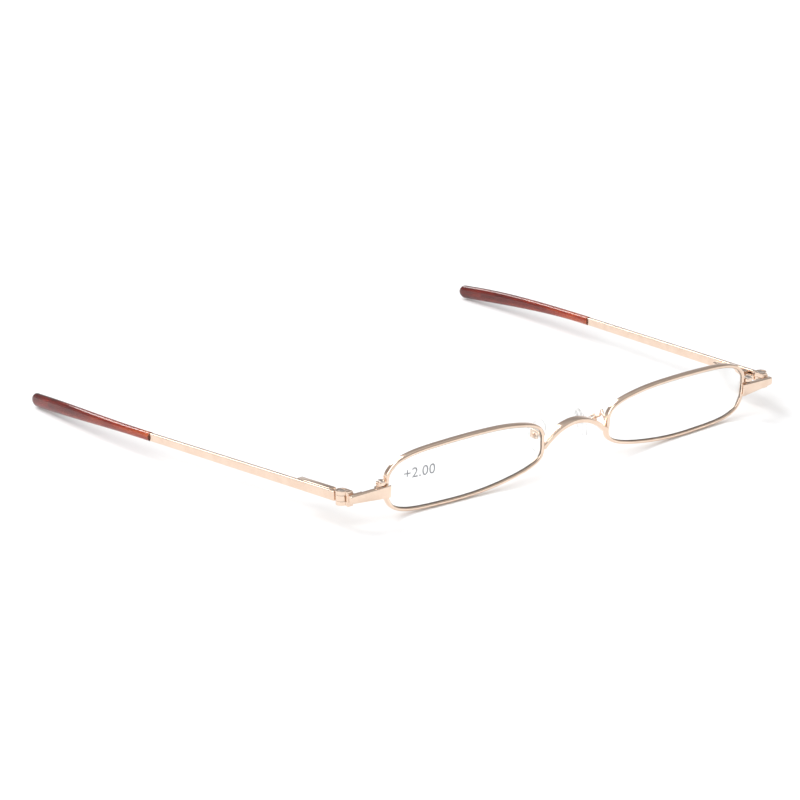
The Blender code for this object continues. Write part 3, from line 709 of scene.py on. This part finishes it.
def make_print():
    """Generic power figure printed on the front of the right lens, wrapped onto its curve."""
    curve = bpy.data.curves.new("figure", "FONT")
    curve.body = PRINT_TEXT
    curve.size = PRINT_HEIGHT * PRINT_SIZE_PER_HEIGHT
    curve.space_character = 1.06
    written = bpy.data.objects.new("figure", curve)
    bpy.context.scene.collection.objects.link(written)
    bpy.context.view_layer.update()
    mesh = bpy.data.meshes.new_from_object(written.evaluated_get(bpy.context.evaluated_depsgraph_get()))
    bm = bmesh.new()
    bm.from_mesh(mesh)
    bpy.data.objects.remove(written, do_unlink=True)
    bmesh.ops.triangulate(bm, faces=bm.faces)
    solid = bmesh.ops.extrude_face_region(bm, geom=bm.faces[:])
    raised = {item for item in solid["geom"] if isinstance(item, bmesh.types.BMVert)}
    for vert in bm.verts:
        u = PRINT_START[0] + vert.co.x
        v = PRINT_START[1] + vert.co.y
        share = abs(-u - LENS_MIDDLE[0]) / LENS_HALF_WIDTH
        depth = -lens_thickness(share) / 2 - (0.02 if vert in raised else 0.005)
        point = lens_point(-u, v, depth)
        vert.co = Vector((-point.x, point.y, point.z))
    bmesh.ops.recalc_face_normals(bm, faces=bm.faces)
    in_fixed_order(bm)
    return bm


# Assembly -------------------------------------------------------------------------------------

def build_pieces():
    front = front_frame()
    temple = temple_frame()
    pad = pad_frame()
    bridge = make_bridge()
    bmesh.ops.transform(bridge, matrix=Matrix.Scale(MM, 4) @ front, verts=bridge.verts)
    stand(shaded("fine_bridge", bridge, gold, SMOOTH_ANGLE), "front", "bridge")
    place_pair("rim", make_rim(), front, gold, "front", 50)
    for lens in place_pair("lens", make_lens(), front, glass, "front", 25):
        lens.data.materials.append(ground)
    place_pair("pad_arm", make_pad_arm(front.inverted() @ pad), front, gold, "front")
    place_pair("temple", make_temple(), temple, gold_brushed, "temple", 50)
    tips = place_pair("temple_tip", make_tip(), temple, brown, "temple", 50)
    # Painted shade: the faces at each tip's mouth take the near-black brown, standing for the shadow in the
    # gap there
    for tip in tips:
        tip.data.materials.append(brown_tip_painted_shade)
        mouth = min(vert.co.y for vert in tip.data.vertices) + MOUTH_DEPTH * MM
        for face in tip.data.polygons:
            if face.center.y < mouth:
                face.material_index = 1
    place_pair("nose_pad", make_nose_pad(), pad, silicone, "pad", 60)
    figure = make_print()
    bmesh.ops.transform(figure, matrix=Matrix.Scale(MM, 4) @ front, verts=figure.verts)
    stand(shaded("lens_power_print", figure, ink, 30), "front", None)
    softened_pair("endpiece", gold, "front", 0.1)
    softened_pair("rim_lock", gold, "front", 0.06)
    softened_pair("rim_lock_screw", steel, "front", 0.03)
    softened_pair("hinge_leaf", gold, "front", 0.05)
    softened_pair("hinge_screw", steel, "front", 0.03)
    softened_pair("pad_box", gold, "front", 0.05)
    softened_pair("pad_screw", steel, "front", 0.02)
    softened_pair("pad_insert", insert, "pad", 0.03)
    softened_pair("hinge_slider", gold, "slider", 0.04)
    softened_pair("spring_box", gold, "temple", 0.12)
    for side in ("left", "right"):
        for name in ("hinge_spring_", "spring_retainer_"):
            node = frame["nodes"][name + side]
            node.data.materials.clear()
            node.data.materials.append(steel)


# Studio ---------------------------------------------------------------------------------------

def make_floor():
    bm = bmesh.new()
    bmesh.ops.create_grid(bm, x_segments=8, y_segments=8, size=3.0)
    bmesh.ops.translate(bm, vec=(0.0, 0.0, -0.0002), verts=bm.verts)
    made = Nodes("pale_table")
    soft = made.noise((0.01, 0.01, 0.01), 2.0)
    made.link(made.ramp(soft, [(0.3, (0.90, 0.90, 0.90)), (0.7, (0.92, 0.92, 0.92))]),
              made.shader.inputs["Base Color"])
    made.set(Roughness=0.9)
    made.shader.inputs["Specular IOR Level"].default_value = 0.1
    shaded("floor", bm, made.material, 30)
    bm.free()


def make_world():
    """Pale dome: brightest at the horizon, dimmest halfway up and brighter again overhead."""
    world = bpy.data.worlds.new("studio")
    world.use_nodes = True
    tree = world.node_tree
    background = tree.nodes["Background"]
    where = tree.nodes.new("ShaderNodeTexCoord")
    split = tree.nodes.new("ShaderNodeSeparateXYZ")
    ramp = tree.nodes.new("ShaderNodeValToRGB")
    tree.links.new(where.outputs["Generated"], split.inputs["Vector"])
    tree.links.new(split.outputs["Z"], ramp.inputs["Fac"])
    tree.links.new(ramp.outputs["Color"], background.inputs["Color"])
    stops = [(0.0, 0.88), (0.12, 0.66), (0.35, 0.40), (0.6, 0.36), (0.9, 0.66)]
    while len(ramp.color_ramp.elements) < len(stops):
        ramp.color_ramp.elements.new(0.5)
    for element, (position, level) in zip(ramp.color_ramp.elements, stops):
        element.position = position
        element.color = (level, level, level * 1.01, 1.0)
    background.inputs["Strength"].default_value = 1.0
    bpy.context.scene.world = world


def make_light(name, azimuth, elevation, distance, size, power):
    """Square area light that looks at the object from an azimuth and an elevation in degrees."""
    data = bpy.data.lights.new(name, "AREA")
    data.size = size
    data.energy = power
    light = bpy.data.objects.new(name, data)
    turn, rise = radians(azimuth), radians(elevation)
    way = Vector((sin(turn) * cos(rise), -cos(turn) * cos(rise), sin(rise)))
    light.location = way * distance
    light.rotation_euler = way.to_track_quat("Z", "Y").to_euler()
    bpy.context.scene.collection.objects.link(light)


def make_camera():
    data = bpy.data.cameras.new("camera")
    data.lens = CAMERA_LENS
    data.sensor_width = 36.0
    data.shift_x, data.shift_y = CAMERA_SHIFT
    data.clip_end = 50.0
    camera = bpy.data.objects.new("camera", data)
    level_back = Vector((sin(CAMERA_AZIMUTH), -cos(CAMERA_AZIMUTH), 0.0)) * cos(CAMERA_ELEVATION)
    back = level_back + Vector((0.0, 0.0, sin(CAMERA_ELEVATION)))
    right = Vector((cos(CAMERA_AZIMUTH), sin(CAMERA_AZIMUTH), 0.0))
    up = back.cross(right)
    level = Matrix((right, up, back)).transposed().to_4x4()
    place = Matrix.Translation(LOOK_AT + back * CAMERA_DISTANCE)
    camera.matrix_world = place @ level @ Matrix.Rotation(CAMERA_ROLL, 4, "Z")
    bpy.context.scene.collection.objects.link(camera)
    bpy.context.scene.camera = camera


build_pieces()
make_floor()
make_world()
make_light("key", -80, 42, 4.0, 4.4, 152.0)
make_light("back", 184, 44, 4.0, 1.8, 70.0)
make_camera()
bpy.context.scene.view_settings.view_transform = "Standard"
